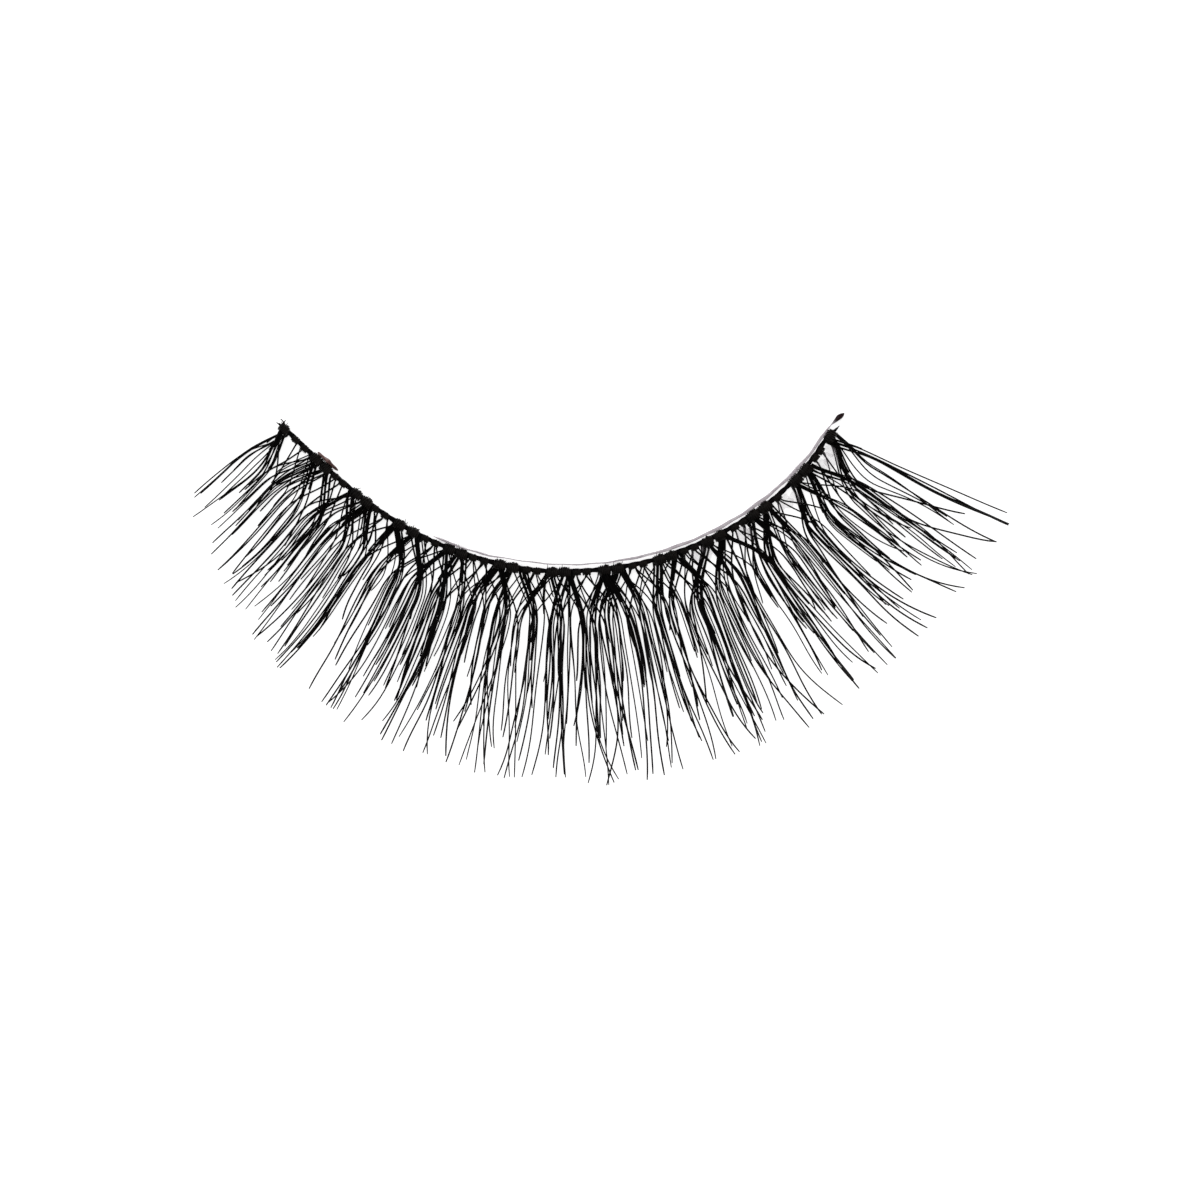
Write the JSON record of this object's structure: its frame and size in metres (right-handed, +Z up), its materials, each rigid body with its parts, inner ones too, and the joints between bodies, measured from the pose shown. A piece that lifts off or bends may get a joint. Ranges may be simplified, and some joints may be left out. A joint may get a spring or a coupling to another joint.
{
  "type": "false eyelash strip",
  "caption": "Strip of false eyelashes: a curved knotted cord band with fanned, crossing clusters of tapered black fibre that curl up, and a clear adhesive edge on the inner side.",
  "frame": {"origin": "centre of the bottom of the whole strip's box, on the surface it lies on", "axes": "+X along the strip from its left end to its right end, +Y towards the eyelid side (the hollow side of the band), +Z up, away from the surface, the way the lashes curl"},
  "size_m": [0.0424, 0.0192, 0.0048],
  "materials": {
    "band_thread": "matte black twisted cotton",
    "lash_fibre": "satin black synthetic fibre",
    "adhesive_film": "clear lilac-grey skin",
    "adhesive_dab": "dried brown adhesive"
  },
  "bodies": {
    "root": {"band_thread": "band_thread", "adhesive_film": "adhesive_film", "adhesive_dab": "adhesive_dab", "lash_cluster_01": "lash_fibre", "lash_cluster_02": "lash_fibre", "lash_cluster_03": "lash_fibre", "lash_cluster_04": "lash_fibre", "lash_cluster_05": "lash_fibre", "lash_cluster_06": "lash_fibre", "lash_cluster_07": "lash_fibre", "lash_cluster_08": "lash_fibre", "lash_cluster_09": "lash_fibre", "lash_cluster_10": "lash_fibre", "lash_cluster_11": "lash_fibre", "lash_cluster_12": "lash_fibre", "lash_cluster_13": "lash_fibre"}
  },
  "joints": []
}
